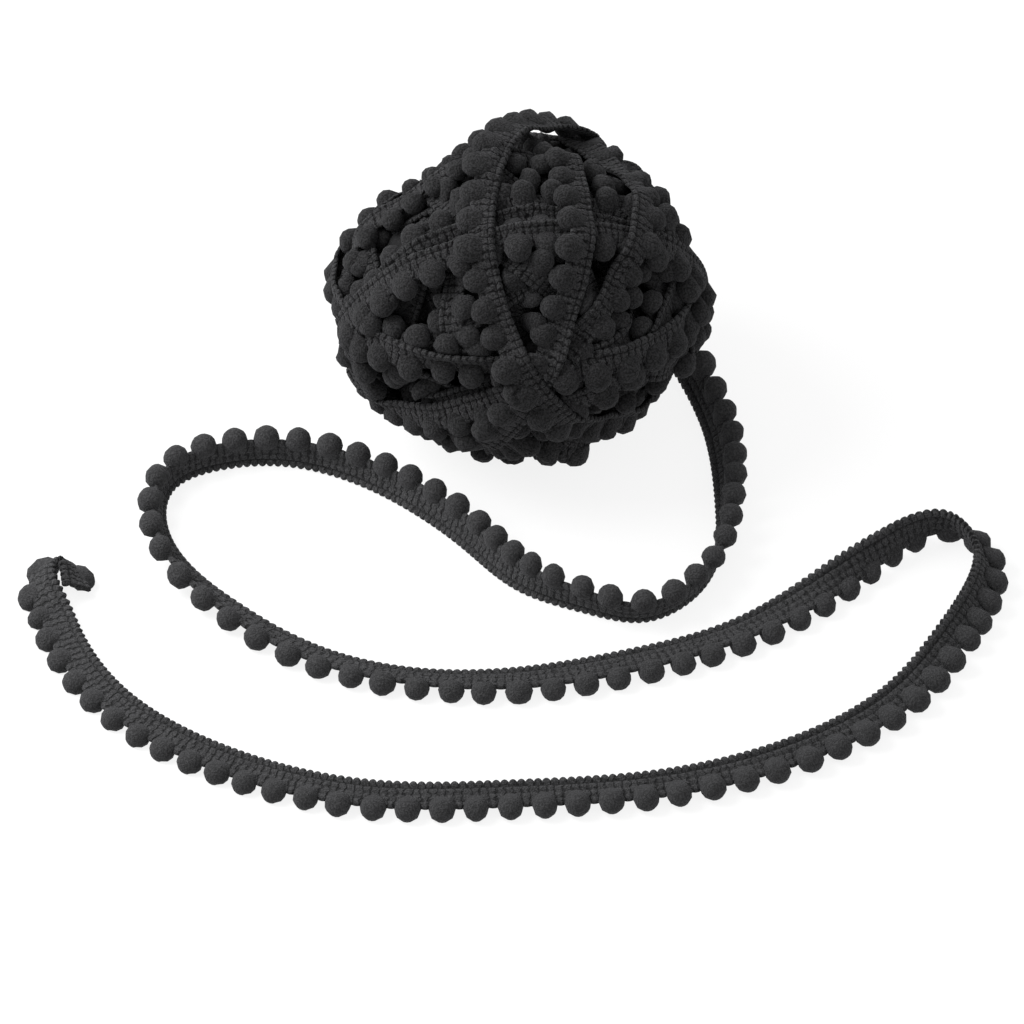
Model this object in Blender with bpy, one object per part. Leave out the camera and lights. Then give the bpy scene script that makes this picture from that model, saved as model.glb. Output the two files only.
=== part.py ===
"""Pompom fringe trim: a length of narrow knitted tape, edged with small pompoms, wound as a ball.

Its loose end leaves the ball low on the right and lies in bends on the floor, toward the viewer.
The tables are in millimetres and degrees. The finished meshes are in metres, with +Z up, the floor at
z = 0 and the middle of the ball's flat spot at the origin.
"""

import math

import bmesh
import bpy
import numpy as np
from mathutils import Vector
from mathutils.kdtree import KDTree

MM = 0.001

# The trim's own sizes. "Across" runs from the tape's free edge to the pompoms, with 0 at mid-tape.
# "Out" is the distance from the tape's middle plane, positive on its plain face. The pompoms bulge on
# the other face.
TAPE_WIDTH = 6.7
TAPE_THICK = 1.2
STRIP_WIDTH = 0.8
STRIP_EDGE = 2.9
PARTING = 0.3
POMPOM_PITCH = 6.45
POMPOM_ROOT = 2.2

# One pompom as rings of four corners, root to tip. A corner lies at its across and out, half_length
# to each side of the pompom's middle.
POMPOM_RINGS = (
    # plain_across, plain_out, bulge_across, bulge_out, half_length
    (3.25, 0.75, 2.75, -1.00, 1.50),
    (3.75, 1.20, 2.20, -2.10, 2.05),
    (4.60, 1.25, 3.10, -2.85, 2.30),
    (5.30, 0.60, 4.60, -2.50, 1.85),
    (5.65, -0.20, 5.50, -1.30, 0.90),
)

# The loose end's way over the floor, from the ball to the free tip. The lean turns the tape about its
# own length: 0 lays it with the plain face up and the pompoms on the right of the way, 90 stands it
# with the pompoms on top, 180 lays it with the pompoms up and on the left, and -90 stands it on them.
ROUTE = (
    # x, y, lean, raised
    (21.5, 25.5, 150, 11.2),
    (32.5, 12.0, 138, 3.2),
    (37.5, 1.5, 130, 0.3),
    (41.0, -12.5, 134, 0.0),
    (42.0, -29.5, 124, 0.0),
    (40.5, -46.5, 109, 0.0),
    (35.0, -57.5, 103, 0.0),
    (25.5, -64.0, 107, 0.0),
    (13.0, -60.5, 95, 0.0),
    (1.5, -54.0, 76, 0.0),
    (-9.0, -41.5, 65, 0.0),
    (-19.5, -30.5, 69, 0.0),
    (-32.0, -21.5, 79, 0.0),
    (-46.0, -16.5, 87, 0.0),
    (-59.5, -17.5, 88, 0.0),
    (-69.0, -23.0, 85, 0.0),
    (-72.0, -33.0, 70, 0.0),
    (-68.5, -47.0, 47, 0.0),
    (-57.0, -61.5, 27, 0.0),
    (-39.0, -75.5, 20, 0.0),
    (-18.5, -82.0, 17, 0.0),
    (3.0, -82.5, 6, 0.0),
    (24.0, -77.5, 3, 0.0),
    (45.5, -68.0, 4, 0.0),
    (60.0, -58.0, -21, 0.0),
    (73.0, -47.0, -64, 0.0),
    (86.5, -40.0, -98, 0.0),
    (92.5, -46.5, -116, 0.0),
    (92.0, -59.5, -128, 0.0),
    (86.5, -72.0, -145, 0.0),
    (76.5, -88.0, -161, 0.0),
    (56.5, -104.0, -167, 0.0),
    (29.5, -114.0, -168, 0.0),
    (0.0, -117.0, -170, 0.0),
    (-29.0, -117.0, -170, 0.0),
    (-59.0, -106.5, -172, 0.0),
    (-80.5, -88.5, -174, 0.0),
    (-90.5, -69.0, -174, 0.0),
    (-93.0, -61.5, -166, 0.0),
    (-95.0, -55.5, -145, 0.0),
    (-94.0, -51.5, -125, 0.0),
    (-91.0, -50.5, -115, 0.0),
    (-90.0, -53.0, -120, 0.0),
    (-89.0, -57.5, -125, 0.0),
)

# Where some pompoms' middles lie along the loose end; the others are spaced evenly between them.
POMPOM_RUNS = (
    # number, run
    (0, 7.2),
    (8, 58.6),
    (18, 123.5),
    (22, 146.7),
    (28, 183.9),
    (37, 240.9),
    (42, 278.0),
    (58, 382.9),
    (64, 422.4),
    (70, 456.6),
    (84, 550.2),
    (92, 603.5),
    (98, 640.6),
    (107, 699.0),
)

# The ball: the half axes of its wound form, the height of its middle, how deep the winds that show
# are laid, and the radius at which a wind's own sizes are true.
BALL_AXES = (35.5, 34.3, 33.3)
BALL_MIDDLE = 32.8
WIND_DEPTH = 9.0
WIND_RADIUS = 35.5

# Broad swells and hollows of the wound form.
SWELLS = (
    # azimuth, elevation, spread, rise
    (134, 36, 28, -10.5),
    (100, 44, 20, 2.6),
    (-158, -12, 20, 2.2),
    (-20, -10, 18, 2.4),
    (-34, -36, 20, -2.2),
    (-141, -38, 22, -3.2),
    (40, 42, 22, -2.4),
)

# The winds, in the order in which they are laid. The pole is square to the wind's plane, on its
# pompoms' side; the shift moves the wind toward the pole; a plain face out hides the pompoms' bulge.
WINDS = (
    # pole_azimuth, pole_elevation, shift, bulge_out
    (10, 80, -4, True),
    (62, 12, 6, False),
    (128, 35, -6, True),
    (-20, 20, 4, False),
    (-60, 48, 0, True),
    (95, -30, 8, True),
    (172, 52, -8, True),
    (38, 40, 12, False),
    (-135, 5, 10, True),
    (150, -55, 4, True),
    (70, 66, -10, True),
    (0, -35, 14, True),
    (-35, -62, 12, True),
    (-106, 18, 0, True),
    (-83, 9, -2, True),
    (-144, 61, 2, False),
    (6, -66, 6, True),
    (102, -2, -18, True),
    (-81, -2, 20, True),
    (-80, -19, 11, True),
    (10, -54, -10, False),
    (-168, 29, 9, True),
    (163, -31, -23, True),
)

MAP_POINTS = 15000
LANES = (-2.0, 0.0, 2.0)
LANE_REACH = 1.5
LANE_STEPS = 108
PACKING_ROUNDS = 5
BALL_CUTS = 27
FLAT_HALF = 6.0


def aim(azimuth, elevation):
    """The unit vector that points this way."""
    a, e = math.radians(azimuth), math.radians(elevation)
    return np.array([math.cos(e) * math.cos(a), math.cos(e) * math.sin(a), math.sin(e)])


def spread_directions(count):
    """Unit vectors spread evenly on a sphere, along a golden spiral."""
    step = np.arange(count) + 0.5
    z = 1 - 2 * step / count
    turn = step * math.pi * (3 - math.sqrt(5))
    level = np.sqrt(1 - z * z)
    return np.stack([level * np.cos(turn), level * np.sin(turn), z], axis=1)


def wound_form(dirs):
    """The radius of the whole ball in each direction, without the relief of its winds."""
    radius = 1 / np.sqrt(((dirs / np.array(BALL_AXES)) ** 2).sum(axis=1))
    for azimuth, elevation, spread, rise in SWELLS:
        away = np.degrees(np.arccos(np.clip(dirs @ aim(azimuth, elevation), -1, 1)))
        radius += rise * np.exp(-((away / spread) ** 2))
    return radius


def pull_taut(support, rounds=160):
    """A band drawn tight round its supports: it lies on the high ones and runs straight between."""
    band = support.copy()
    chord = 2 * math.cos(2 * math.pi / len(band))
    for _ in range(rounds):
        straight = chord / (1 / np.roll(band, 1) + 1 / np.roll(band, -1))
        band = np.maximum(support, straight)
    band = 0.2 * support + 0.8 * band
    return 0.5 * band + 0.25 * (np.roll(band, 1) + np.roll(band, -1))


def lay_wind(dirs, radius, pole_azimuth, pole_elevation, shift, bulge_out):
    """Lays one wind of trim on the map of radii: its tape first, then its pompoms."""
    pole = aim(pole_azimuth, pole_elevation)
    side = aim(pole_azimuth, pole_elevation - 90)
    ahead = np.cross(pole, side)
    ring = WIND_RADIUS * math.cos(math.radians(shift))
    across = (np.arcsin(np.clip(dirs @ pole, -1, 1)) - math.radians(shift)) * WIND_RADIUS
    around = np.arctan2(dirs @ ahead, dirs @ side) % (2 * math.pi)
    step = (around / (2 * math.pi) * LANE_STEPS).astype(int) % LANE_STEPS
    lanes = []
    for lane in LANES:
        near = np.abs(across - lane) < LANE_REACH
        support = np.zeros(LANE_STEPS)
        np.maximum.at(support, step[near], radius[near])
        lanes.append(pull_taut(np.maximum(support, support[support > 0].min())))
    lanes = np.array(lanes)
    place = np.clip((across - LANES[0]) / (LANES[1] - LANES[0]), 0, len(LANES) - 1.001)
    lower = place.astype(int)
    band = lanes[lower, step] + (place - lower) * (lanes[lower + 1, step] - lanes[lower, step])

    count = round(2 * math.pi * ring / POMPOM_PITCH)
    phase = around * count / (2 * math.pi)
    which = phase.astype(int) % count
    along = (phase % 1 - 0.5) * 2 * math.pi * ring / count
    reach = (along / 3.6) ** 2 + ((across - 3.2) / 2.7) ** 2
    under = reach < 1
    seat = np.zeros(count)
    np.add.at(seat, which[under], radius[under])
    seat /= np.maximum(np.bincount(which[under], minlength=count), 1)
    if bulge_out:
        height = np.clip(seat[which] + 1.8, band + 0.2, band + 2.0)
    else:
        height = np.clip(seat[which] + 1.8, band - 1.4, band + 0.4)
    tape = np.abs(across) < TAPE_WIDTH / 2
    radius[tape] = np.maximum(radius, band + TAPE_THICK)[tape]
    dome = height + 2.4 * np.sqrt(np.clip(1 - reach, 0, 1))
    radius[under] = np.maximum(radius, dome)[under]


def wound_surface():
    """The directions and radii of the ball's surface once every wind is laid.

    Winds that cross pile up, so the core under them is packed tighter there, until the broad shape
    of the whole comes out as the wound form.
    """
    dirs = spread_directions(MAP_POINTS)
    wanted = wound_form(dirs)
    powers = [(i, j, k) for i in range(6) for j in range(6 - i) for k in range(6 - i - j)]
    broad = np.stack([np.prod(dirs**power, axis=1) for power in powers], axis=1)
    core = wanted - WIND_DEPTH
    for _ in range(PACKING_ROUNDS):
        radius = core.copy()
        for wind in WINDS:
            lay_wind(dirs, radius, *wind)
        core -= broad @ np.linalg.lstsq(broad, radius - wanted, rcond=None)[0]
    return dirs, radius


def make_ball():
    """One closed solid of the wound form, with a small flat spot where it rests."""
    dirs, radius = wound_surface()
    tree = KDTree(len(dirs))
    for index, way in enumerate(dirs):
        tree.insert(way, index)
    tree.balance()
    bm = bmesh.new()
    bmesh.ops.create_cube(bm, size=2)
    bmesh.ops.subdivide_edges(bm, edges=bm.edges[:], cuts=BALL_CUTS - 1, use_grid_fill=True)
    for vert in bm.verts:
        way = Vector(math.tan(value * math.pi / 4) for value in vert.co).normalized()
        near = tree.find_n(way, 5)
        reach = sum(radius[index] for _, index, _ in near) / len(near)
        floor = -BALL_MIDDLE / min(way.z, -0.01)
        if way.z < 0 and (reach > floor or max(abs(way.x), abs(way.y)) * floor < FLAT_HALF):
            reach = floor
        vert.co = way * reach * MM
        vert.co.z = max(vert.co.z + BALL_MIDDLE * MM, 0)
    press_flat(bm)
    return finish("wound_ball", bm)


def press_flat(bm):
    """Gives the ball's flat spot one plain three-cornered face in its middle, round the origin."""
    level = [
        face
        for face in bm.faces
        if all(v.co.z == 0 and max(abs(v.co.x), abs(v.co.y)) < FLAT_HALF * MM for v in face.verts)
    ]
    whole = bmesh.ops.dissolve_faces(bm, faces=level)["region"]
    bmesh.ops.inset_region(bm, faces=whole, thickness=FLAT_HALF * MM / 4)
    thirds = [[], [], []]
    for vert in whole[0].verts:
        thirds[int(math.atan2(vert.co.y, vert.co.x) / math.tau * 2.999 + 1.5)].append(vert)
    for third in thirds:
        heart = sum((vert.co for vert in third), Vector()) / len(third)
        bmesh.ops.pointmerge(bm, verts=third, merge_co=heart)


def section_corners():
    """(across, out) of every corner of the trim's section that could touch the floor."""
    edge, half = TAPE_WIDTH / 2, TAPE_THICK / 2
    corners = [(-edge, half), (-edge, -half), (STRIP_EDGE, half), (STRIP_EDGE, -half)]
    for plain_across, plain_out, bulge_across, bulge_out, _ in POMPOM_RINGS:
        corners += [(plain_across, plain_out), (bulge_across, bulge_out)]
    return np.array(corners)


def smooth_curve(rows):
    """A natural cubic spline through the rows, in small steps of its chord length."""
    rows = np.array(rows, float)
    chord = np.linalg.norm(np.diff(rows[:, :2], axis=0), axis=1)
    knot = np.concatenate([[0], np.cumsum(chord)])
    count = len(rows)
    matrix, right = np.eye(count), np.zeros((count, rows.shape[1]))
    slope = np.diff(rows, axis=0) / chord[:, None]
    for i in range(1, count - 1):
        matrix[i, i - 1 : i + 2] = chord[i - 1], 2 * (chord[i - 1] + chord[i]), chord[i]
        right[i] = 6 * (slope[i] - slope[i - 1])
    bend = np.linalg.solve(matrix, right)
    at = np.linspace(0, knot[-1], 3000)
    i = np.clip(np.searchsorted(knot, at, side="right") - 1, 0, count - 2)
    gap = chord[i][:, None]
    after = (at - knot[i])[:, None]
    before = gap - after
    return (
        bend[i] * before**3 / (6 * gap)
        + bend[i + 1] * after**3 / (6 * gap)
        + (rows[i] / gap - bend[i] * gap / 6) * before
        + (rows[i + 1] / gap - bend[i + 1] * gap / 6) * after
    )


class Route:
    """The loose end's middle line, with the trim's own directions anywhere along it."""

    def __init__(self):
        curve = smooth_curve(ROUTE)
        lean = np.radians(curve[:, 2])
        corners = section_corners()
        low = corners[:, 0] * np.sin(lean)[:, None] + corners[:, 1] * np.cos(lean)[:, None]
        height = np.maximum(curve[:, 3], 0) - low.min(axis=1)
        self.points = np.column_stack([curve[:, :2], height])
        self.lean = lean
        steps = np.linalg.norm(np.diff(self.points, axis=0), axis=1)
        self.run = np.concatenate([[0], np.cumsum(steps)])
        self.length = self.run[-1]

    def at(self, run):
        """(origin, along, across, out) at this distance along the line, in an upright section."""
        origin = [np.interp(run, self.run, self.points[:, k]) for k in range(3)]
        ends = [
            [np.interp(run + way, self.run, self.points[:, k]) for k in range(2)] + [0]
            for way in (-0.8, 0.8)
        ]
        along = (Vector(ends[1]) - Vector(ends[0])).normalized()
        right = along.cross(Vector((0, 0, 1)))
        lean = float(np.interp(run, self.run, self.lean))
        across = math.cos(lean) * right + math.sin(lean) * right.cross(along)
        return Vector(origin), along, across, across.cross(along)


def place(frame, along, across, out):
    """The point this far from the frame's origin, in metres."""
    origin, ahead, side, up = frame
    return (origin + ahead * along + side * across + up * out) * MM


def stations(route):
    """The pompoms' middles along the route, and the tape's stops: both ends of each one's root."""
    numbers, runs = np.array(POMPOM_RUNS).T
    middles = [float(run) for run in np.interp(np.arange(numbers[-1] + 1), numbers, runs)]
    stops = [0.0]
    for middle in middles:
        stops += [middle - POMPOM_ROOT / 2, middle + POMPOM_ROOT / 2]
    return middles, stops + [route.length]


def sweep(route, stops, profile):
    """Extrudes a profile of (across, out) corners along the route, through each stop in turn."""
    bm = bmesh.new()
    first = route.at(stops[0])
    face = bm.faces.new([bm.verts.new(place(first, 0, *corner)) for corner in profile])
    for stop in stops[1:]:
        frame, inner = route.at(stop), face
        grown = bmesh.ops.extrude_face_region(bm, geom=[inner])["geom"]
        face = next(item for item in grown if isinstance(item, bmesh.types.BMFace))
        if stop != stops[1]:
            bmesh.ops.delete(bm, geom=[inner], context="FACES_ONLY")
        for vert, corner in zip(face.verts, profile):
            vert.co = place(frame, 0, *corner)
    bmesh.ops.recalc_face_normals(bm, faces=bm.faces[:])
    return bm


def make_tape(route):
    """The knitted tape: a flat sheet, a little thinner at its edges."""
    edge, half = TAPE_WIDTH / 2, TAPE_THICK / 2
    inner = STRIP_EDGE - STRIP_WIDTH - PARTING
    profile = [(-edge, half - 0.2), (inner, half), (inner, -half), (-edge, 0.2 - half)]
    _, stops = stations(route)
    return finish("loose_end_tape", sweep(route, stops, profile))


def make_pompoms(route):
    """The pompoms, grown out of the edge of the narrow strip that carries them."""
    edge, half = STRIP_EDGE, TAPE_THICK / 2
    profile = [(edge - STRIP_WIDTH, half), (edge, half), (edge, -half), (edge - STRIP_WIDTH, -half)]
    middles, stops = stations(route)
    bm = sweep(route, stops, profile)
    for middle in middles:
        frame = route.at(middle)
        root = place(frame, 0, edge, 0)
        face = min(bm.faces, key=lambda f: (f.calc_center_median() - root).length)
        for ring in POMPOM_RINGS:
            face = bmesh.ops.extrude_discrete_faces(bm, faces=[face])["faces"][0]
            heart = face.calc_center_median()
            for vert in face.verts:
                away = vert.co - heart
                side = math.copysign(ring[4], away.dot(frame[1]))
                plain = away.dot(frame[3]) > 0
                corner = ring[0:2] if plain else ring[2:4]
                vert.co = place(frame, side, *corner)
    return finish("loose_end_pompoms", bm)


def finish(name, bm):
    """Turns the mesh into a named object with the trim's black yarn on it."""
    mesh = bpy.data.meshes.new(name)
    bm.to_mesh(mesh)
    bm.free()
    material = bpy.data.materials.new(name + "_yarn")
    material.use_nodes = True
    shader = material.node_tree.nodes["Principled BSDF"]
    shader.inputs["Base Color"].default_value = (0.022, 0.022, 0.024, 1)
    shader.inputs["Roughness"].default_value = 0.9
    shader.inputs["Metallic"].default_value = 0
    material.diffuse_color = (0.022, 0.022, 0.024, 1)
    mesh.materials.append(material)
    made = bpy.data.objects.new(name, mesh)
    bpy.context.scene.collection.objects.link(made)
    return made


def main():
    for old in list(bpy.data.objects):
        bpy.data.objects.remove(old, do_unlink=True)
    route = Route()
    make_ball()
    make_tape(route)
    make_pompoms(route)


main()
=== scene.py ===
"""Black pompom fringe trim, wound as a ball with its loose end lying in bends: the finished look.

The tables are in millimetres and degrees, in the frame's own axes: +Z up, the floor at z = 0 and the
middle of the ball's flat spot at the origin. Every mesh is built in metres.
"""

import math

import bmesh
import bpy
import numpy as np
from mathutils import Matrix, Vector


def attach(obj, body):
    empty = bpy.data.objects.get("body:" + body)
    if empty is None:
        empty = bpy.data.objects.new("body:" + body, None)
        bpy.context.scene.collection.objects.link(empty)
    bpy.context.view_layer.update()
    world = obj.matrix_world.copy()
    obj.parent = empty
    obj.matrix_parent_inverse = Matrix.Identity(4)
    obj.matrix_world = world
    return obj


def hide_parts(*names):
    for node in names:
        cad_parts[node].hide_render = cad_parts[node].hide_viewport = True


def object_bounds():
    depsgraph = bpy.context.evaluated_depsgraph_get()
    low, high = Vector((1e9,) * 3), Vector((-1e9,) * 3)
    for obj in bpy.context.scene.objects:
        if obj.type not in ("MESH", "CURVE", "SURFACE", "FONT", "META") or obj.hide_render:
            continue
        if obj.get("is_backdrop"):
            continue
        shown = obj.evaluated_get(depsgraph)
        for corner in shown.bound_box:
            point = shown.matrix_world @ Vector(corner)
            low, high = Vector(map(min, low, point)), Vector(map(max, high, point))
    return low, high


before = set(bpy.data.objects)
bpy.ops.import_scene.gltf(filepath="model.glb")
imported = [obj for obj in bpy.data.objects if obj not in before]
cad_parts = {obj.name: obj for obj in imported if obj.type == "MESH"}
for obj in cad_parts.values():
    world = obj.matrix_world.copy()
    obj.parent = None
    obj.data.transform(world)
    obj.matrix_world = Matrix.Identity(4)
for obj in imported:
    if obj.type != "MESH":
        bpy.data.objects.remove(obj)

MM = 0.001

# The trim's own sizes. "Across" runs from the tape's free edge to the pompoms, with 0 at mid-tape.
# "Out" is the distance from the tape's middle plane, positive on its plain face.
TAPE_WIDTH = 6.7
TAPE_HALF = 0.5
WALES = 4
POMPOM_PITCH = 6.45
STITCHES_PER_POMPOM = 4
STITCH = POMPOM_PITCH / STITCHES_PER_POMPOM

# A pompom is a drop: its thick end at a middle, and a neck that runs back to the middle of the tape
# and grows broader and flatter on the way.
POMPOM_ACROSS = 3.2
POMPOM_RADIUS = 2.6
POMPOM_NECK = 3.5
POMPOM_TIP = 2.8
NECK_BROADENING = 0.2
NECK_FLATTENING = 0.85
POMPOM_SEGMENTS = 12
POMPOM_RINGS = 6

# How much one pompom differs from the next: its size, its unevenness, and its stray to the sides.
SIZE_SPREAD = 0.04
UNEVENNESS = 0.02
STRAY_ALONG = 0.2
STRAY_ACROSS = 0.15

# Where the loose end's trim meets the floor: a pompom pressed on it, and the tape's free edge.
PRESSED_OUT = -0.4
PRESSED_TIP = 2.45
PRESSED_RADIUS = 2.5
FREE_EDGE_HALF = 0.4

# The loose end's middle line, from the ball to its free end, and how far it is raised off the floor.
# At a lean of 0 it lies flat, its pompoms to the right of its way. At 90 it stands on its free edge.
ROUTE = (
    # x, y, lean, raised
    (21.5, 25.5, 150, 11.2),
    (32.5, 12.0, 138, 3.2),
    (37.5, 1.5, 130, 0.3),
    (41.0, -12.5, 134, 0.0),
    (42.0, -29.5, 124, 0.0),
    (40.5, -46.5, 109, 0.0),
    (35.0, -57.5, 103, 0.0),
    (25.5, -64.0, 107, 0.0),
    (13.0, -60.5, 95, 0.0),
    (1.5, -54.0, 76, 0.0),
    (-9.0, -41.5, 65, 0.0),
    (-19.5, -30.5, 69, 0.0),
    (-32.0, -21.5, 79, 0.0),
    (-46.0, -16.5, 87, 0.0),
    (-59.5, -17.5, 88, 0.0),
    (-69.0, -23.0, 85, 0.0),
    (-72.0, -33.0, 70, 0.0),
    (-68.5, -47.0, 47, 0.0),
    (-57.0, -61.5, 27, 0.0),
    (-39.0, -75.5, 20, 0.0),
    (-18.5, -82.0, 17, 0.0),
    (3.0, -82.5, 6, 0.0),
    (24.0, -77.5, 3, 0.0),
    (45.5, -68.0, 4, 0.0),
    (60.0, -58.0, -21, 0.0),
    (73.0, -47.0, -64, 0.0),
    (86.5, -40.0, -98, 0.0),
    (92.5, -46.5, -116, 0.0),
    (92.0, -59.5, -128, 0.0),
    (86.5, -72.0, -145, 0.0),
    (76.5, -88.0, -161, 0.0),
    (56.5, -104.0, -167, 0.0),
    (29.5, -114.0, -168, 0.0),
    (0.0, -117.0, -170, 0.0),
    (-29.0, -117.0, -170, 0.0),
    (-59.0, -106.5, -172, 0.0),
    (-80.5, -88.5, -174, 0.0),
    (-90.5, -69.0, -174, 0.0),
    (-93.0, -61.5, -166, 0.0),
    (-95.0, -55.5, -145, 0.0),
    (-93.5, -51.0, -134, 0.0),
    (-90.5, -50.5, -131, 0.0),
    (-89.0, -53.0, -137, 0.0),
    (-88.0, -57.0, -150, 0.0),
)
ROUTE_STEPS = 3000

# Where some pompoms' middles lie along the loose end; the others are spaced evenly between them.
POMPOM_RUNS = (
    # number, run
    (0, 7.2),
    (8, 58.6),
    (18, 123.5),
    (22, 146.7),
    (28, 183.9),
    (37, 240.9),
    (42, 278.0),
    (58, 382.9),
    (64, 422.4),
    (70, 456.6),
    (84, 550.2),
    (92, 603.5),
    (98, 640.6),
    (107, 699.0),
)

# How far the loose end's pompoms stand out from the tape's middle plane, as they slip to one side or
# the other of it, and the share of that which their necks keep.
POMPOM_SIDES = (
    # run, out
    (0, -0.4),
    (250, -0.4),
    (300, -0.9),
    (420, -0.9),
    (470, -0.6),
    (530, -0.4),
    (600, 0.2),
    (650, 0.6),
    (700, 0.6),
)
NECK_SHARE = 0.7

# The ball's wound form: its half axes, how high its middle lies, how deep its winds are taken to be
# at first, and the radius at which their widths are counted. Then its broad swells and hollows.
BALL_AXES = (35.5, 34.3, 33.3)
BALL_MIDDLE = 32.8
WIND_DEPTH = 8.0
WIND_RADIUS = 35.5
SWELLS = (
    # azimuth, elevation, spread, rise
    (134, 36, 28, -10.5),
    (100, 44, 20, 2.6),
    (-158, -12, 20, 2.2),
    (-20, -10, 18, 2.4),
    (-34, -36, 20, -2.2),
    (-141, -38, 22, -3.2),
    (40, 42, 22, -2.4),
    (70, 58, 18, -5.5),
)

# The winds in laying order. The pole is square to the wind's plane, on its pompoms' side; the shift
# moves the wind toward the pole; a plain face out hides the pompoms' bulge.
WINDS = (
    # pole_azimuth, pole_elevation, shift, bulge_out
    (10, 80, -4, True),
    (62, 12, 6, False),
    (128, 35, -6, True),
    (-20, 20, 4, False),
    (-60, 48, 0, True),
    (95, -30, 8, True),
    (172, 52, -8, True),
    (38, 40, 12, False),
    (-135, 5, 10, True),
    (150, -55, 4, True),
    (70, 66, -10, True),
    (0, -35, 14, True),
    (-35, -62, 12, True),
    (-106, 18, 0, True),
    (-83, 9, -2, True),
    (-144, 61, 2, False),
    (6, -66, 6, True),
    (-90, -81, -4, True),
    (102, -2, -18, True),
    (-81, -2, 20, True),
    (-80, -19, 11, True),
    (10, -54, -10, False),
    (-168, 29, 9, True),
    (163, -31, -23, True),
)

# Where a wind stands off the ones below it, counted back from the last that is laid.
LIFTS = (
    # wind, azimuth, elevation, spread, rise
    (-1, 71, 62, 26, 3.7),
)

# Deeper winds, spread evenly, that show only through the gaps, and what they take in turn.
DEEP_WINDS = 12
DEEP_TURNS = (
    # shift, bulge_out
    (-9, False),
    (2, True),
    (10, True),
)

# On the ball the tape is drawn narrower, and its pompoms spread and lie lower.
SQUEEZE = 0.84
SWELLING = 1.08
SQUASH = 0.85

# A tape rests partly on the highest spots under it, and partly on their mean. It is drawn nearly
# taut between them.
TOP_SHARE = 0.45
SLACK = 0.2
SOFTENING_ROUNDS = 3

# A pompom rests on a patch of the ball, its middle a little above the patch's mean. It stays within
# these distances (least, most) above the under side of its tape, read where the two are joined.
PATCH_ALONG = 3.2
PATCH_ACROSS = 3.0
SEAT_RISE = 1.5
JOIN_ACROSS = 2.2
BULGE_SEATS = (0.4, 2.0)
PLAIN_SEATS = (-1.2, 0.4)

# One that nothing covers puffs out toward a little above the wound form.
PUFF = 0.85
PUFF_ABOVE = 1.2
PUFF_MOST = 6

# How far above the wound form a tape and a pompom's top may lie, and how far below a later tape.
TAPE_LIMIT = 2.4
POMPOM_LIMIT = 4.4
PRESS_GAP = 0.1

# A pompom's neck ends inside the tape, a little off its middle and toward the side that shows.
ROOT_ACROSS = 0.3
ROOT_OUT = 0.25

# The core is drawn this far above what the deepest winds are laid on.
CORE_RISE = 0.5
CORE_SUBDIVISIONS = 5

# How finely the ball is worked out: its map of radii, each tape's lanes on that map, and the rounds
# that draw the tapes taut and pack the core.
MAP_POINTS = 40000
LANES = (-2.4, 0.0, 2.4)
LANE_REACH = 1.5
LANE_STEPS = 180
TAUT_ROUNDS = 400
PACKING_ROUNDS = 5
PACKING_DEGREE = 5

# Each pompom's own seed: these many apart from wind to wind, and from here on along the loose end.
WIND_SEEDS = 1000
TAIL_SEEDS = 500000

# One wale of the knit, from a gutter to the next: as it is on the loose end, and on the ball.
FINE_WALE = (
    # part of a wale across, rise, bead
    (0.0, -0.18, 0.00),
    (0.22, 0.00, 0.10),
    (0.5, 0.08, 0.16),
    (0.78, 0.00, 0.10),
)
PLAIN_WALE = (
    # part of a wale across, rise, bead
    (0.0, -0.04, 0.05),
    (0.3, 0.02, 0.12),
    (0.7, 0.02, 0.12),
)
BACK_WALE = (
    # part of a wale across, rise, bead
    (0.5, 0.0, 0.0),
)
ROPE_RISE = 0.2
ROPE_GUTTER = 0.12

# A loop bulges as a power of a sine, and these parts of its bulge count as level: in a wale, in the
# rope of the free edge, and at that edge's outline.
LOOP_POWER = 0.75
WALE_LEVEL = 0.75
ROPE_LEVEL = 0.7
SCALLOP_LEVEL = 0.6
JOINED_SCALLOP = 0.2
BALL_SCALLOP = 0.32
TAIL_SCALLOP = 0.8

# Where the tape's rows of corners lie in each stitch: close to the slits on the ball, and even on
# the loose end, where each loop of the free edge is half a stitch on from the rest.
BALL_STEPS = (0.0, 0.2, 0.8)
TAIL_STEPS = tuple(k / 6 for k in range(6))
BALL_ROPE_SHIFT = 0.0
TAIL_ROPE_SHIFT = 0.5

# The yarn's gloss, the same all over.
YARN_GLOSS = (
    # shader socket, value
    ("Roughness", 0.88),
    ("Specular IOR Level", 0.06),
    ("Sheen Weight", 0.07),
    ("Sheen Roughness", 0.45),
    ("Sheen Tint", (0.7, 0.7, 0.74, 1)),
)
YARN_BLUENESS = 1.03

# The camera: it looks down at this angle, through a long lens, at a point that lies these
# millimetres right, up and away, as it sees them.
ELEVATION = 42
LENS = 1000
SENSOR = 36
IMAGE_PIXELS = 1024
PIXELS_PER_MM = 5.0
AIM_POINT = (-1.0, -20.4, -45.0)


def aim(azimuth, elevation):
    """The unit vector that points this way."""
    a, e = math.radians(azimuth), math.radians(elevation)
    return np.array([math.cos(e) * math.cos(a), math.cos(e) * math.sin(a), math.sin(e)])


def spread_directions(count):
    """Unit vectors spread evenly on a sphere, along a golden spiral."""
    step = np.arange(count) + 0.5
    z = 1 - 2 * step / count
    turn = step * math.pi * (3 - math.sqrt(5))
    level = np.sqrt(1 - z * z)
    return np.stack([level * np.cos(turn), level * np.sin(turn), z], axis=1)


def bell(dirs, azimuth, elevation, spread):
    """1 in this direction, falling off smoothly over the spread."""
    away = np.degrees(np.arccos(np.clip(dirs @ aim(azimuth, elevation), -1, 1)))
    return np.exp(-((away / spread) ** 2))


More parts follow.
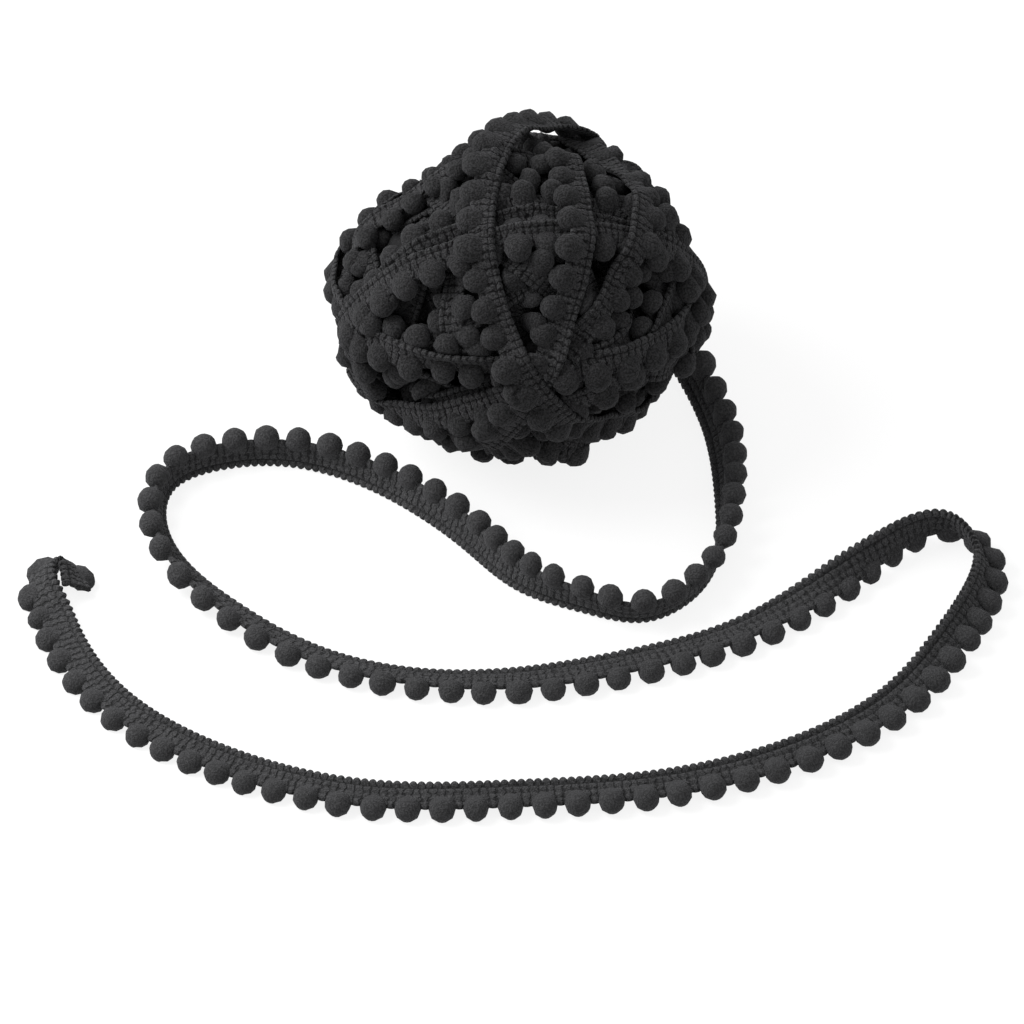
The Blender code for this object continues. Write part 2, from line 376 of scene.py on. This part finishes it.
def wound_form(dirs):
    """The radius of the whole ball in each direction, without the relief of its winds."""
    radius = 1 / np.sqrt(((dirs / np.array(BALL_AXES)) ** 2).sum(axis=1))
    for azimuth, elevation, spread, rise in SWELLS:
        radius += rise * bell(dirs, azimuth, elevation, spread)
    return radius


def pull_taut(support):
    """A band drawn tight round its supports: it lies on the high ones and runs straight between."""
    band = support.copy()
    chord = 2 * math.cos(2 * math.pi / len(band))
    for _ in range(TAUT_ROUNDS):
        band = np.maximum(support, chord / (1 / np.roll(band, 1) + 1 / np.roll(band, -1)))
    band = SLACK * support + (1 - SLACK) * band
    for _ in range(SOFTENING_ROUNDS):
        band = (band + (np.roll(band, 1) + np.roll(band, -1)) / 2) / 2
    return band


def mean_of(values, which, count):
    """The mean of the values that belong to each of so many things, or 0 where none does."""
    return np.bincount(which, values, minlength=count) / np.maximum(
        np.bincount(which, minlength=count), 1
    )


class Wind:
    """One turn of the trim round the ball: where it runs, and how high it lies."""

    def __init__(self, number, lifts, pole_azimuth, pole_elevation, shift, bulge_out):
        self.number = number
        self.lifts = lifts
        self.pole = aim(pole_azimuth, pole_elevation)
        self.side = aim(pole_azimuth, pole_elevation - 90)
        self.ahead = np.cross(self.pole, self.side)
        self.shift = math.radians(shift)
        self.ring = WIND_RADIUS * math.cos(self.shift)
        self.bulge_out = bulge_out
        self.rise = POMPOM_RADIUS * SWELLING * SQUASH
        self.count = round(2 * math.pi * self.ring / POMPOM_PITCH)
        self.turn = 2 * math.pi / self.count
        self.middles = (np.arange(self.count) + 0.5) * self.turn

    def locate(self, dirs):
        """(around, across) of these directions: an angle along the wind, and millimetres off it."""
        across = (np.arcsin(np.clip(dirs @ self.pole, -1, 1)) - self.shift) * WIND_RADIUS / SQUEEZE
        return np.arctan2(dirs @ self.ahead, dirs @ self.side) % (2 * math.pi), across

    def direction(self, around, across):
        """The unit vectors at these places on the wind."""
        level = self.shift + across * SQUEEZE / WIND_RADIUS
        flat = np.cos(level)[..., None]
        turn = np.cos(around)[..., None] * self.side + np.sin(around)[..., None] * self.ahead
        return flat * turn + np.sin(level)[..., None] * self.pole

    def band(self, around, across):
        """The radius of the tape's under side at these places."""
        place = np.clip((across - LANES[0]) / (LANES[1] - LANES[0]), 0, len(LANES) - 1.001)
        lower = place.astype(int)
        at = around / (2 * math.pi) * LANE_STEPS - 0.5
        step = np.floor(at).astype(int)
        part = at - step
        here, there = step % LANE_STEPS, (step + 1) % LANE_STEPS
        low = self.lanes[lower, here] * (1 - part) + self.lanes[lower, there] * part
        high = self.lanes[lower + 1, here] * (1 - part) + self.lanes[lower + 1, there] * part
        return low + (place - lower) * (high - low)

    def lifted(self, around):
        """How far the wind stands off the ones below it at these places."""
        way = self.direction(around, np.zeros(len(around)))
        rises = [rise * bell(way, *where) for *where, rise in self.lifts]
        return np.sum(rises, axis=0)

    def lay(self, dirs, radius, wanted):
        """Lays the wind on the map of radii: its tape first, then its pompoms."""
        around, across = self.locate(dirs)
        self.lay_tape(around, across, radius, wanted)
        self.seat_pompoms(around, across, radius, wanted)
        tape = np.abs(across) < TAPE_WIDTH / 2
        top = self.band(around, across) + 2 * TAPE_HALF
        radius[tape] = np.maximum(radius, top)[tape]
        radius[self.under] = np.maximum(radius[self.under], self.dome)

    def lay_tape(self, around, across, radius, wanted):
        """Draws the tape's lanes taut over what lies under them."""
        step = (around / (2 * math.pi) * LANE_STEPS).astype(int) % LANE_STEPS
        lanes = []
        for lane in LANES:
            near = np.abs(across - lane) < LANE_REACH
            mean = mean_of(radius[near], step[near], LANE_STEPS)
            top = np.zeros(LANE_STEPS)
            np.maximum.at(top, step[near], radius[near])
            support = (1 - TOP_SHARE) * mean + TOP_SHARE * top
            form = mean_of(wanted[near], step[near], LANE_STEPS)
            lanes.append(np.minimum(pull_taut(support), form + TAPE_LIMIT - 2 * TAPE_HALF))
        places = (np.arange(LANE_STEPS) + 0.5) * 2 * math.pi / LANE_STEPS
        self.lanes = np.array(lanes) + self.lifted(places)

    def seat_pompoms(self, around, across, radius, wanted):
        """Seats each pompom on the patch of the ball under it, beside its tape."""
        which = (around / self.turn).astype(int) % self.count
        along = (around / self.turn % 1 - 0.5) * self.turn * self.ring
        reach = (along / PATCH_ALONG) ** 2 + ((across - POMPOM_ACROSS) / PATCH_ACROSS) ** 2
        self.under = np.flatnonzero(reach < 1)
        self.which = which[self.under]
        seat = mean_of(radius[self.under], self.which, self.count) + SEAT_RISE
        beside = self.band(self.middles, np.full(self.count, JOIN_ACROSS))
        least, most = BULGE_SEATS if self.bulge_out else PLAIN_SEATS
        form = mean_of(wanted[self.under], self.which, self.count) + self.lifted(self.middles)
        self.seats = np.clip(seat, beside + least, beside + most)
        self.seats = np.minimum(self.seats, form + POMPOM_LIMIT - self.rise)
        bulge = self.rise * np.sqrt(np.clip(1 - reach[self.under], 0, 1))
        self.dome = self.seats[self.which] + bulge

    def puff(self, radius, wanted):
        """Lets the pompoms that lie open in a hollow swell out toward the wound form."""
        shown = self.dome >= radius[self.under] - 0.01
        share = mean_of(shown, self.which, self.count)
        form = mean_of(wanted[self.under], self.which, self.count)
        room = np.clip(form + PUFF_ABOVE - self.seats - self.rise, 0, PUFF_MOST)
        self.seats += PUFF * np.clip(2 * share, 0, 1) * room

    def spot(self, around, across, radius):
        """The points at these places and this far from the ball's middle."""
        return raise_ball(self.direction(around, across) * radius[..., None])


def raise_ball(points):
    """Moves points from about the ball's middle to where it rests, pressed flat on the floor."""
    points[..., 2] = np.maximum(points[..., 2] + BALL_MIDDLE, 0)
    return points


def press(dirs, radius, winds):
    """Flattens what lies under the tape of these later winds, so that none of it shows through."""
    for wind in winds:
        around, across = wind.locate(dirs)
        covered = np.abs(across) < TAPE_WIDTH / 2
        under = wind.band(around[covered], across[covered]) - PRESS_GAP
        radius[covered] = np.minimum(radius[covered], under)
    return radius


def broad_shapes(dirs):
    """The values in each direction of the broad shapes that the core's packing is a mix of."""
    degrees = range(PACKING_DEGREE + 1)
    powers = [
        (i, j, k) for i in degrees for j in degrees for k in degrees if i + j + k <= PACKING_DEGREE
    ]
    return np.stack([np.prod(dirs**power, axis=1) for power in powers], axis=1)


def wind_ball():
    """Lays every wind, with the core packed until the whole comes out as the wound form."""
    dirs = spread_directions(MAP_POINTS)
    wanted = wound_form(dirs)
    broad = broad_shapes(dirs)
    poles = spread_directions(2 * DEEP_WINDS)[:DEEP_WINDS]
    rows = [
        (math.degrees(math.atan2(y, x)), math.degrees(math.asin(z)), *DEEP_TURNS[k % len(DEEP_TURNS)])
        for k, (x, y, z) in enumerate(poles)
    ]
    rows += WINDS
    winds = []
    for number, row in enumerate(rows, 1):
        lifts = [lift for wind, *lift in LIFTS if number == len(rows) + 1 + wind]
        winds.append(Wind(number, lifts, *row))
    packing = -WIND_DEPTH * np.linalg.lstsq(broad, np.ones(len(dirs)), rcond=None)[0]
    for _ in range(PACKING_ROUNDS):
        radius = wanted + broad @ packing
        for wind in winds:
            wind.lay(dirs, radius, wanted)
        packing -= np.linalg.lstsq(broad, radius - wanted, rcond=None)[0]
    for wind in winds:
        wind.puff(radius, wanted)
    return winds, packing


def bulge_of(stitch):
    """How far a loop bulges at these places, in stitches along: 0 at its slits, 1 at its middle."""
    return np.abs(np.sin(math.pi * stitch)) ** LOOP_POWER


def knit_section(stitch, face, back, scallop, rope_shift):
    """(across, out, wale) of the tape's section at each place, in stitches along it.

    The corners go once round: from the free edge over the plain face, and back under the other. The
    wale nearest the free edge is a rope of rounder loops, which stand out from the edge as scallops.
    """
    stitch = np.asarray(stitch)[:, None]
    loop = bulge_of(stitch)
    rope_loop = bulge_of(stitch + rope_shift)
    outline = scallop * (rope_loop - SCALLOP_LEVEL)
    sides = []
    for wale_lines, turn in ((face, 1), (back, -1)):
        lines = [(wale + part, *rest) for wale in range(WALES) for part, *rest in wale_lines]
        wale, rise, bead = np.array(lines[1:]).T[:, ::turn]
        rope = np.clip(1 - np.abs(wale - 0.5) / 0.5, 0, 1) ** 0.5
        rise = rise - ROPE_GUTTER * (wale == 1)
        bump = np.where(wale < 1, rope_loop - ROPE_LEVEL, loop - WALE_LEVEL)
        out = turn * (TAPE_HALF + rise + bead * bump + ROPE_RISE * rope)
        over = (wale / WALES - 0.5) * TAPE_WIDTH - outline * np.clip(1 - wale, 0, 1)
        sides.append((over, out, wale if turn > 0 else 2 * WALES - wale))
    (over, out, wale), (under, below, back_wale) = sides
    free = -TAPE_WIDTH / 2 - outline
    joined = TAPE_WIDTH / 2 + JOINED_SCALLOP * (loop - 0.5)
    edge = 0 * loop
    return (
        np.hstack([free, over, joined, under]),
        np.hstack([edge, out, edge, below]),
        np.concatenate([[0], wale, [WALES], back_wale]),
    )


def new_piece(bm, name, material):
    """An object of this mesh, shaded smooth, with its place in its mesh."""
    for face in bm.faces:
        face.smooth = True
    mesh = bpy.data.meshes.new(name)
    bm.to_mesh(mesh)
    bm.free()
    mesh.materials.append(material)
    piece = bpy.data.objects.new(name, mesh)
    bpy.context.scene.collection.objects.link(piece)
    return piece


def roll_band(bm, rows, stitch, wales, closed):
    """Rolls a grid of knit into a tube through these rows of points, its stitches marked as UVs."""
    long, sides = len(rows) - (0 if closed else 1), rows.shape[1]
    layer = bm.loops.layers.uv.get("UVMap") or bm.loops.layers.uv.new("UVMap")
    grid = bmesh.ops.create_grid(bm, x_segments=long, y_segments=sides, size=1, calc_uvs=True)
    verts = grid["verts"]
    for vert in verts:
        i, k = round((vert.co.x + 1) / 2 * long), round((vert.co.y + 1) / 2 * sides)
        vert.co = rows[i % len(rows), k % sides] * MM
    along = np.append(stitch, math.ceil(stitch[-1] + 1e-6))
    across = np.append(wales, 2 * WALES)
    for loop in [loop for vert in verts for loop in vert.link_loops]:
        u, v = loop[layer].uv
        loop[layer].uv = along[round(u * long)], across[round(v * sides)]
    bmesh.ops.remove_doubles(bm, verts=verts, dist=1e-7)
    if not closed:
        bmesh.ops.holes_fill(bm, edges=[edge for edge in bm.edges if edge.is_boundary])


def make_ball_tape(name, winds, later, material):
    """The tape of these winds, each a closed turn of knit."""
    bm = bmesh.new()
    for wind in winds:
        stitches = STITCHES_PER_POMPOM * wind.count
        stitch = (np.arange(stitches)[:, None] + BALL_STEPS).ravel()
        across, out, wales = knit_section(stitch, PLAIN_WALE, BACK_WALE, BALL_SCALLOP, BALL_ROPE_SHIFT)
        around = np.repeat((stitch / stitches * 2 * math.pi)[:, None], len(wales), axis=1)
        radius = wind.band(around, across) + TAPE_HALF + out
        ways = wind.direction(around, across)
        radius = press(ways.reshape(-1, 3), radius.reshape(-1), later(wind)).reshape(radius.shape)
        roll_band(bm, wind.spot(around, across, radius), stitch, wales, closed=True)
    bmesh.ops.recalc_face_normals(bm, faces=bm.faces[:])
    return new_piece(bm, name, material)


def drop_shape(points, seed, swelling=1.0):
    """Shapes unit points into a drop's (along, across, out, neck) about the tape's middle.

    The neck goes from 0 at the drop's middle to 1 at its end, and takes the drop down to the tape.
    """
    rng = np.random.default_rng(seed)
    radius = POMPOM_RADIUS * swelling * rng.uniform(1 - SIZE_SPREAD, 1 + SIZE_SPREAD)
    uneven = radius * (1 + rng.uniform(-UNEVENNESS, UNEVENNESS, len(points)))
    along, across, out = points.T
    neck = np.clip(-across, 0, 1)
    x = along * uneven * (1 + NECK_BROADENING * neck**3) + rng.uniform(-STRAY_ALONG, STRAY_ALONG)
    y = POMPOM_ACROSS + np.where(across < 0, POMPOM_NECK, POMPOM_TIP * swelling) * across
    y += rng.uniform(-STRAY_ACROSS, STRAY_ACROSS) * (1 - neck)
    z = out * uneven * (1 - NECK_FLATTENING * neck)
    return x, y, z, neck


def plain_pompom():
    """A round pompom that the others are copies of, and its points: x along, y across, z out."""
    bm = bmesh.new()
    bmesh.ops.create_uvsphere(
        bm,
        u_segments=POMPOM_SEGMENTS,
        v_segments=POMPOM_RINGS,
        radius=1,
        matrix=Matrix.Rotation(math.radians(-90), 4, "X"),
    )
    mesh = bpy.data.meshes.new("plain_pompom")
    bm.to_mesh(mesh)
    bm.free()
    return mesh, np.array([vert.co[:] for vert in mesh.vertices])


def add_pompom(bm, plain, points):
    """Adds a copy of the plain pompom with its points moved here."""
    first = len(bm.verts)
    bm.from_mesh(plain)
    bm.verts.ensure_lookup_table()
    for k, point in enumerate(points):
        bm.verts[first + k].co = point * MM


def make_ball_pompoms(name, winds, later, material, plain, unit):
    """The pompoms of these winds, squeezed between the turns."""
    bm = bmesh.new()
    for wind in winds:
        for k, middle in enumerate(wind.middles):
            x, y, z, neck = drop_shape(unit, WIND_SEEDS * wind.number + k, SWELLING)
            y += (y - POMPOM_ACROSS) * (1 / SQUEEZE - 1)
            around = middle + x / wind.ring
            root = wind.band(around, np.full(len(x), ROOT_ACROSS)) + TAPE_HALF
            root += ROOT_OUT if wind.bulge_out else -ROOT_OUT
            radius = wind.seats[k] * (1 - neck) + root * neck + SQUASH * z
            radius = press(wind.direction(around, y), radius, later(wind))
            add_pompom(bm, plain, wind.spot(around, y, radius))
    return new_piece(bm, name, material)


def make_core(name, packing, material):
    """The packed inside that shows between the turns, painted dark as deep shade."""
    bm = bmesh.new()
    bmesh.ops.create_icosphere(bm, subdivisions=CORE_SUBDIVISIONS, radius=1)
    ways = np.array([vert.co.normalized()[:] for vert in bm.verts])
    radius = wound_form(ways) + broad_shapes(ways) @ packing + CORE_RISE
    for vert, point in zip(bm.verts, raise_ball(ways * radius[:, None])):
        vert.co = point * MM
    return new_piece(bm, name, material)


def smooth_curve(rows):
    """A natural cubic spline through the rows, in small steps of its chord length."""
    rows = np.array(rows, float)
    chord = np.linalg.norm(np.diff(rows[:, :2], axis=0), axis=1)
    knot = np.concatenate([[0], np.cumsum(chord)])
    count = len(rows)
    matrix, right = np.eye(count), np.zeros((count, rows.shape[1]))
    slope = np.diff(rows, axis=0) / chord[:, None]
    for i in range(1, count - 1):
        matrix[i, i - 1 : i + 2] = chord[i - 1], 2 * (chord[i - 1] + chord[i]), chord[i]
        right[i] = 6 * (slope[i] - slope[i - 1])
    bend = np.linalg.solve(matrix, right)
    at = np.linspace(0, knot[-1], ROUTE_STEPS)
    i = np.clip(np.searchsorted(knot, at, side="right") - 1, 0, count - 2)
    gap = chord[i][:, None]
    after = (at - knot[i])[:, None]
    before = gap - after
    return (
        bend[i] * before**3 / (6 * gap)
        + bend[i + 1] * after**3 / (6 * gap)
        + (rows[i] / gap - bend[i] * gap / 6) * before
        + (rows[i + 1] / gap - bend[i + 1] * gap / 6) * after
    )


def resting_outline():
    """The (across, out) corners of the trim's section that can touch the floor."""
    half = TAPE_WIDTH / 2
    turn = np.linspace(0, 2 * math.pi, 24, endpoint=False)
    pompom = np.stack(
        [POMPOM_ACROSS + PRESSED_TIP * np.cos(turn), PRESSED_OUT + PRESSED_RADIUS * np.sin(turn)],
        axis=1,
    )
    tape = [(-half, FREE_EDGE_HALF), (-half, -FREE_EDGE_HALF), (half, TAPE_HALF), (half, -TAPE_HALF)]
    return np.vstack([tape, pompom])


class Route:
    """The loose end's middle line, with the trim's own directions anywhere along it."""

    def __init__(self):
        curve = smooth_curve(ROUTE)
        self.lean = np.radians(curve[:, 2])
        across, out = resting_outline().T
        low = across * np.sin(self.lean)[:, None] + out * np.cos(self.lean)[:, None]
        height = np.maximum(curve[:, 3], 0) - low.min(axis=1)
        self.points = np.column_stack([curve[:, :2], height])
        steps = np.linalg.norm(np.diff(self.points, axis=0), axis=1)
        self.run = np.concatenate([[0], np.cumsum(steps)])
        self.length = self.run[-1]
        self.heading = np.gradient(curve[:, :2], axis=0)
        numbers, runs = np.array(POMPOM_RUNS).T
        self.middles = np.interp(np.arange(numbers[-1] + 1), numbers, runs)

    def stitch_marks(self, stitches):
        """Some stitches' numbers and where they lie along the line, one middle to each pompom."""
        first = round(self.middles[0] / STITCH - 0.5) + 0.5
        numbers = first + STITCHES_PER_POMPOM * np.arange(len(self.middles))
        marks = np.concatenate([[0], self.middles, [self.length]])
        return np.concatenate([[0], numbers, [stitches]]), marks

    def spot(self, run, across, out):
        """The points this far along the line, across the tape and out from it."""
        run, across, out = np.broadcast_arrays(run, across, out)
        origin = np.stack([np.interp(run, self.run, self.points[:, k]) for k in range(3)], axis=-1)
        ahead = np.stack([np.interp(run, self.run, self.heading[:, k]) for k in range(2)], axis=-1)
        ahead /= np.linalg.norm(ahead, axis=-1, keepdims=True)
        past = np.maximum(run - self.length, 0) + np.minimum(run, 0)
        lean = np.interp(run, self.run, self.lean)
        right = np.stack([ahead[..., 1], -ahead[..., 0]], axis=-1)
        level = np.cos(lean) * across - np.sin(lean) * out
        origin[..., :2] += ahead * past[..., None] + right * level[..., None]
        origin[..., 2] += np.sin(lean) * across + np.cos(lean) * out
        origin[..., 2] = np.maximum(origin[..., 2], 0)
        return origin


def make_tail_tape(name, route, material):
    """The loose end's tape, one closed strip of knit, its stitches in step with its pompoms."""
    stitches = round(route.length / STITCH)
    stitch = np.append((np.arange(stitches)[:, None] + TAIL_STEPS).ravel(), stitches)
    run = np.interp(stitch, *route.stitch_marks(stitches))
    across, out, wales = knit_section(stitch, FINE_WALE, FINE_WALE, TAIL_SCALLOP, TAIL_ROPE_SHIFT)
    bm = bmesh.new()
    roll_band(bm, route.spot(run[:, None], across, out), stitch, wales, closed=False)
    bmesh.ops.recalc_face_normals(bm, faces=bm.faces[:])
    return new_piece(bm, name, material)


def make_tail_pompoms(name, route, material, plain, unit):
    """The loose end's pompoms."""
    bm = bmesh.new()
    for k, middle in enumerate(route.middles):
        x, y, z, neck = drop_shape(unit, TAIL_SEEDS + k)
        aside = np.interp(middle, *np.array(POMPOM_SIDES).T)
        out = aside * (1 - (1 - NECK_SHARE) * neck) + z
        add_pompom(bm, plain, route.spot(middle + x, y, out))
    return new_piece(bm, name, material)


class Graph:
    """A short hand for a material's nodes."""

    def __init__(self, name):
        self.material = bpy.data.materials.new(name)
        self.material.use_nodes = True
        self.tree = self.material.node_tree
        self.shader = self.tree.nodes["Principled BSDF"]

    def add(self, kind, **settings):
        """A new node with these settings."""
        node = self.tree.nodes.new(kind)
        for key, value in settings.items():
            setattr(node, key, value)
        return node

    def link(self, source, target):
        """Joins an output to an input."""
        self.tree.links.new(source, target)

    def place(self):
        """Where a point of the surface is, in metres."""
        return self.add("ShaderNodeTexCoord").outputs["Object"]

    def math(self, operation, *values, clamp=False):
        """A sum, product or other operation on numbers or other nodes' outputs."""
        node = self.add("ShaderNodeMath", operation=operation, use_clamp=clamp)
        for socket, value in zip(node.inputs, values):
            if isinstance(value, (int, float)):
                socket.default_value = value
            else:
                self.link(value, socket)
        return node.outputs[0]

    def noise(self, place, scale, detail):
        """Irregular mottling of this fineness."""
        node = self.add("ShaderNodeTexNoise")
        node.inputs["Scale"].default_value = scale
        node.inputs["Detail"].default_value = detail
        node.inputs["Roughness"].default_value = 0.6
        self.link(place, node.inputs["Vector"])
        return node.outputs["Fac"]

    def ramp(self, value, low, high, first, last):
        """Goes smoothly from first to last as the value goes from low to high."""
        node = self.add("ShaderNodeMapRange", interpolation_type="SMOOTHSTEP")
        limits = {"From Min": low, "From Max": high, "To Min": first, "To Max": last}
        for name, number in limits.items():
            node.inputs[name].default_value = number
        self.link(value, node.inputs["Value"])
        return node.outputs["Result"]

    def finish(self, height, shade, distance, strength, dark, light):
        """Sets the black yarn, its bump from the height, and its shade from dark to light."""
        bump = self.add("ShaderNodeBump")
        bump.inputs["Distance"].default_value = distance
        bump.inputs["Strength"].default_value = strength
        self.link(height, bump.inputs["Height"])
        self.link(bump.outputs["Normal"], self.shader.inputs["Normal"])
        mix = self.add("ShaderNodeMix", data_type="RGBA")
        mix.inputs["A"].default_value = (dark, dark, dark * YARN_BLUENESS, 1)
        mix.inputs["B"].default_value = (light, light, light * YARN_BLUENESS, 1)
        self.link(shade, mix.inputs["Factor"])
        self.link(mix.outputs["Result"], self.shader.inputs["Base Color"])
        for socket, value in YARN_GLOSS:
            self.shader.inputs[socket].default_value = value
        return self.material


def tape_material(name, dark, light, rope_shift):
    """Knitted tape: rows of stitches, with painted shade in the slits and darker in the gutters'
    holes.

    Its UVs count stitches along the tape, and wales across its plain face and on round its back.
    """
    g = Graph(name)
    place = g.place()
    uv = g.add("ShaderNodeUVMap", uv_map="UVMap").outputs["UV"]
    counts = g.add("ShaderNodeSeparateXYZ")
    g.link(uv, counts.inputs[0])
    stitch, wale = counts.outputs["X"], counts.outputs["Y"]

    grain = g.ramp(g.noise(place, 3000, 2.0), 0.34, 0.66, 0.0, 1.0)
    patch = g.noise(place, 110, 1.0)
    wander = g.math("MULTIPLY", g.math("SUBTRACT", g.noise(place, 900, 1.0), 0.5), 1.1)
    # Random unevenness of the painted shade in the slits and gutters.
    uneven_slit_shade = g.ramp(g.noise(place, 620, 1.0), 0.36, 0.56, 0.55, 1.0)

    from_free_edge = g.math("PINGPONG", wale, WALES)
    in_rope = g.math("LESS_THAN", from_free_edge, 1.0)
    along = g.math("ADD", stitch, g.math("MULTIPLY", in_rope, rope_shift))
    from_slit = g.math("PINGPONG", g.math("ADD", along, wander), 0.5)
    from_gutter = g.math("PINGPONG", g.math("ADD", wale, g.math("MULTIPLY", wander, 0.35)), 0.5)

    # Painted shade: the slits, the gutters and the holes where they cross are darkened as the recesses
    # they are.
    slit = g.ramp(from_slit, 0.05, 0.18, 1.0, 0.0)
    gutter = g.ramp(from_gutter, 0.03, 0.16, 1.0, 0.0)
    gutter_depth = g.ramp(from_free_edge, 1.2, 1.6, 0.8, 0.1)
    by_slit = g.ramp(from_slit, 0.08, 0.3, 1.0, 0.0)
    by_gutter = g.ramp(from_gutter, 0.06, 0.24, 1.0, 0.0)
    groove = g.math("MAXIMUM", slit, g.math("MULTIPLY", gutter, gutter_depth))
    hole = g.math("MULTIPLY", by_slit, by_gutter)
    depth = g.math("MAXIMUM", g.math("MULTIPLY", groove, uneven_slit_shade), hole)

    bead_along = g.ramp(from_slit, 0.0, 0.25, 0.0, 1.0)
    bead_across = g.ramp(from_gutter, 0.0, 0.2, 0.85, 1.0)
    bead = g.math("MULTIPLY", bead_along, bead_across)
    height = g.math("ADD", g.math("MULTIPLY", bead, 0.9), g.math("MULTIPLY", grain, 0.3))
    mottle = g.math("ADD", g.math("MULTIPLY", grain, 0.75), g.math("MULTIPLY", patch, 0.4))
    open_to_light = g.math("SUBTRACT", 1.0, g.math("MULTIPLY", depth, 0.97))
    shade = g.math("MULTIPLY", mottle, open_to_light, clamp=True)
    return g.finish(height, shade, 0.00035, 0.9, dark, light)


def pompom_material(name, dark, light):
    """Pompom yarn: cut ends and fine floats, as a soft speckle."""
    g = Graph(name)
    place = g.place()
    grain = g.ramp(g.noise(place, 2600, 2.0), 0.34, 0.66, 0.0, 1.0)
    nap = g.noise(place, 800, 2.0)
    patch = g.noise(place, 130, 1.0)
    height = g.math("ADD", g.math("MULTIPLY", grain, 0.5), g.math("MULTIPLY", nap, 0.9))
    speckle = g.math("ADD", g.math("MULTIPLY", grain, 0.6), g.math("MULTIPLY", nap, 0.2))
    shade = g.math("ADD", speckle, g.math("MULTIPLY", patch, 0.2), clamp=True)
    return g.finish(height, shade, 0.00035, 0.8, dark, light)


def core_material(name):
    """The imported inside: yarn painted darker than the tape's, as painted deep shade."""
    g = Graph(name)
    fine = g.noise(g.place(), 1200, 3.0)
    return g.finish(fine, g.math("MULTIPLY", fine, 0.2), 0.0005, 1.0, 0.006, 0.05)


def floor_material(name):
    """A floor that shows white, and yet throws little light up on what lies on it."""
    material = bpy.data.materials.new(name)
    material.use_nodes = True
    inputs = material.node_tree.nodes["Principled BSDF"].inputs
    inputs["Base Color"].default_value = (0.13, 0.13, 0.13, 1)
    inputs["Roughness"].default_value = 0.9
    inputs["Specular IOR Level"].default_value = 0.1
    inputs["Emission Color"].default_value = (1, 1, 1, 1)
    inputs["Emission Strength"].default_value = 0.85
    return material


def make_camera():
    """A long lens at the photograph's viewing angle, over its front edge."""
    e = math.radians(ELEVATION)
    right = Vector((1, 0, 0))
    away = Vector((0, math.cos(e), -math.sin(e)))
    up = right.cross(away)
    data = bpy.data.cameras.new("camera")
    data.lens, data.sensor_width = LENS, SENSOR
    data.clip_start, data.clip_end = 0.1, 60
    distance = IMAGE_PIXELS / PIXELS_PER_MM * LENS / SENSOR * MM
    centre = (right * AIM_POINT[0] + up * AIM_POINT[1] + away * AIM_POINT[2]) * MM
    camera = bpy.data.objects.new("camera", data)
    turned = Matrix((right, up, -away)).transposed().to_4x4()
    camera.matrix_world = Matrix.Translation(centre - away * distance) @ turned
    bpy.context.scene.collection.objects.link(camera)
    bpy.context.scene.camera = camera


def make_light(name, location, target, size, power):
    """A round soft light that shines at the target."""
    data = bpy.data.lights.new(name, "AREA")
    data.shape, data.size, data.energy = "DISK", size, power
    light = bpy.data.objects.new(name, data)
    light.location = location
    light.rotation_euler = (Vector(target) - Vector(location)).to_track_quat("-Z", "Y").to_euler()
    bpy.context.scene.collection.objects.link(light)


def make_studio():
    """A pale floor under plain soft light."""
    bm = bmesh.new()
    bmesh.ops.create_grid(bm, x_segments=1, y_segments=1, size=40)
    floor = new_piece(bm, "floor", floor_material("floor_white"))
    floor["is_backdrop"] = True
    world = bpy.data.worlds.new("studio")
    bpy.context.scene.world = world
    world.use_nodes = True
    background = world.node_tree.nodes["Background"]
    background.inputs["Color"].default_value = (1, 1, 1, 1)
    background.inputs["Strength"].default_value = 0.9
    make_light("key", (-0.34, 0.0, 0.36), (-0.01, -0.03, 0.02), size=0.35, power=4.0)
    make_light("fill", (0.7, -0.5, 0.6), (0, -0.03, 0.02), size=0.8, power=0.5)
    bpy.context.scene.view_settings.view_transform = "Standard"


def make_ball(plain, unit):
    """The wound ball, its tape in three pieces so that none grows too large."""
    dark = core_material("core_yarn_painted_shade")
    # Painted shade: the ball's tape and pompoms are the loose end's yarn, painted darker all over; the
    # lower dark level also gives their grain more contrast.
    knit = tape_material("wound_knitted_yarn_painted_shade", 0.001, 0.034, BALL_ROPE_SHIFT)
    fluff = pompom_material("wound_pompom_yarn_painted_shade", 0.002, 0.028)
    winds, packing = wind_ball()
    third = math.ceil(len(winds) / 3)

    def later(wind):
        """The winds that are laid after this one."""
        return winds[wind.number :]

    pieces = [
        make_core("ball_core", packing, dark),
        make_ball_tape("ball_tape_inner", winds[:third], later, knit),
        make_ball_tape("ball_tape_middle", winds[third : 2 * third], later, knit),
        make_ball_tape("ball_tape_outer", winds[2 * third :], later, knit),
        make_ball_pompoms("ball_pompoms", winds, later, fluff, plain, unit),
    ]
    for piece in pieces:
        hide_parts("wound_ball")
        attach(piece, "root")


def make_tail(plain, unit):
    """The loose end: its tape and its pompoms."""
    route = Route()
    knit = tape_material("knitted_yarn", 0.012, 0.047, TAIL_ROPE_SHIFT)
    fluff = pompom_material("pompom_yarn", 0.014, 0.043)
    strip = make_tail_tape("tail_tape", route, knit)
    bobbles = make_tail_pompoms("tail_pompoms", route, fluff, plain, unit)
    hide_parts("loose_end_tape")
    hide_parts("loose_end_pompoms")
    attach(strip, "root")
    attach(bobbles, "root")


def main():
    """Builds the whole scene, and works out the box of the solids and that of the finished model."""
    cad_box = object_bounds()
    make_camera()
    make_studio()
    plain, unit = plain_pompom()
    make_ball(plain, unit)
    make_tail(plain, unit)
    bpy.data.meshes.remove(plain)

    boxes = {"cad": cad_box, "visual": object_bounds()}
    boxes = {key: [list(corner) for corner in box] for key, box in boxes.items()}


main()
